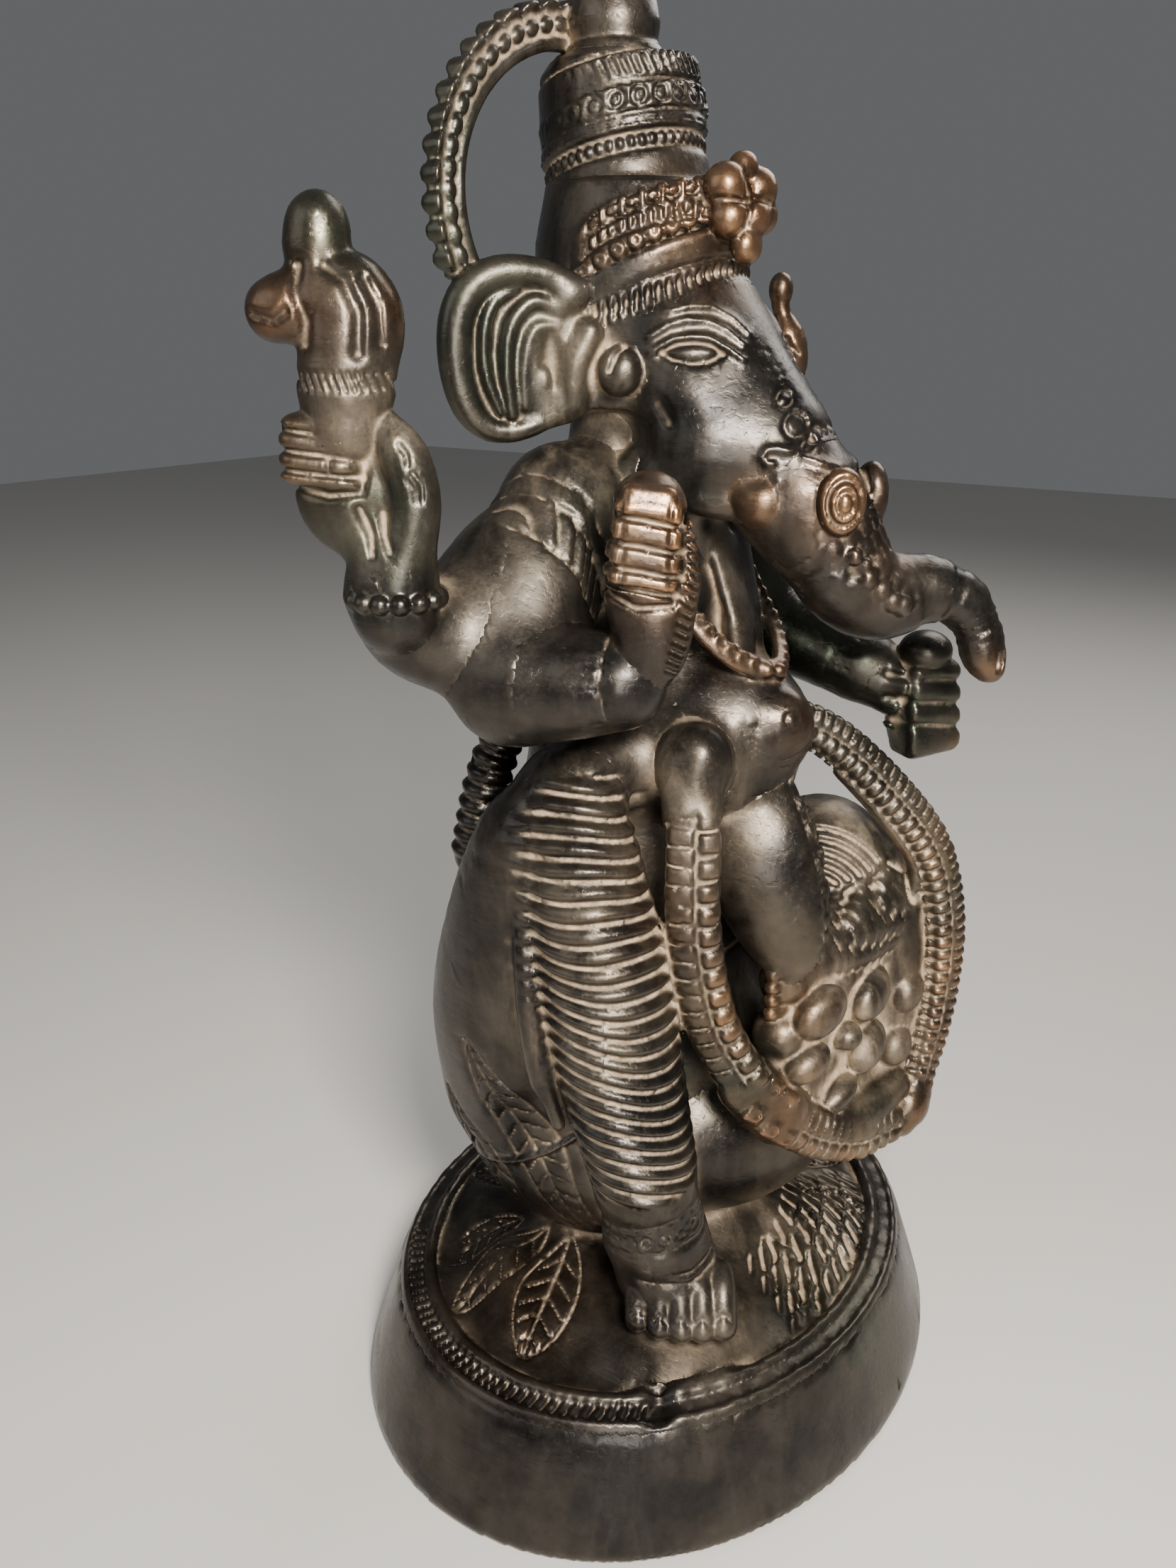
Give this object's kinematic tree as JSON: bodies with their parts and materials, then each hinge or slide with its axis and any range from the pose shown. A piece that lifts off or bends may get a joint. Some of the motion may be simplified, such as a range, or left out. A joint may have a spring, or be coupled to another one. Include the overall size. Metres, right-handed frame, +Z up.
{
  "type": "seated elephant-headed deity figurine",
  "caption": "Cast metal figurine of a seated four-armed elephant-headed deity with crown and halo arch, on an oval plinth, for display on a table or shelf.",
  "frame": {"origin": "centre of the plinth's underside", "axes": "+Z up, the figure faces -Y and its right side is -X"},
  "size_m": [0.1356, 0.1098, 0.252],
  "materials": {
    "dark_patina": "dark brown-black patina, satin, highlights rubbed",
    "worn_copper": "rubbed through to warm copper-brown metal",
    "dusty_patina": "dark patina with tan dust in the folds"
  },
  "bodies": {
    "root": {"plinth": "dark_patina", "rim_band": "dark_patina", "mound": "dusty_patina", "right_foot": "dark_patina", "right_anklet": "dark_patina", "right_shin": "dusty_patina", "right_thigh": "dark_patina", "left_foot": "worn_copper", "left_shin": "dusty_patina", "left_thigh": "dusty_patina", "belly": "dark_patina", "torso": "dark_patina", "hips": "dark_patina", "seat": "dusty_patina", "front_sash": "dusty_patina", "rear_sash": "dark_patina", "trunk": "dark_patina", "head": "dark_patina", "right_tusk": "worn_copper", "left_tusk": "worn_copper", "right_medallion": "worn_copper", "left_medallion": "worn_copper", "right_ear_stud": "dark_patina", "left_ear_stud": "dark_patina", "right_ear": "dark_patina", "left_ear": "dark_patina", "crown_base": "dark_patina", "crown_tier": "dark_patina", "finial": "dark_patina", "jewel": "worn_copper", "lower_diadem": "dark_patina", "upper_diadem": "worn_copper", "circle_band": "dark_patina", "hatched_band": "dark_patina", "halo": "dark_patina", "right_hand": "worn_copper", "right_upper_arm": "dark_patina", "right_forearm": "dark_patina", "right_bracelet": "dark_patina", "right_attribute": "dark_patina", "right_back_hand": "dark_patina", "right_back_arm": "dark_patina", "right_back_bracelet": "dark_patina", "right_back_attribute": "dark_patina", "left_hand": "dark_patina", "left_upper_arm": "dark_patina", "left_forearm": "dark_patina", "left_bracelet": "dark_patina", "left_sweet": "dark_patina", "left_back_hand": "dark_patina", "left_back_arm": "dark_patina", "left_back_attribute": "worn_copper", "scarf": "dusty_patina", "necklace": "worn_copper", "garland_near": "dusty_patina", "garland_far": "dusty_patina", "garland_knob": "worn_copper", "garland_hem": "worn_copper"}
  },
  "joints": []
}
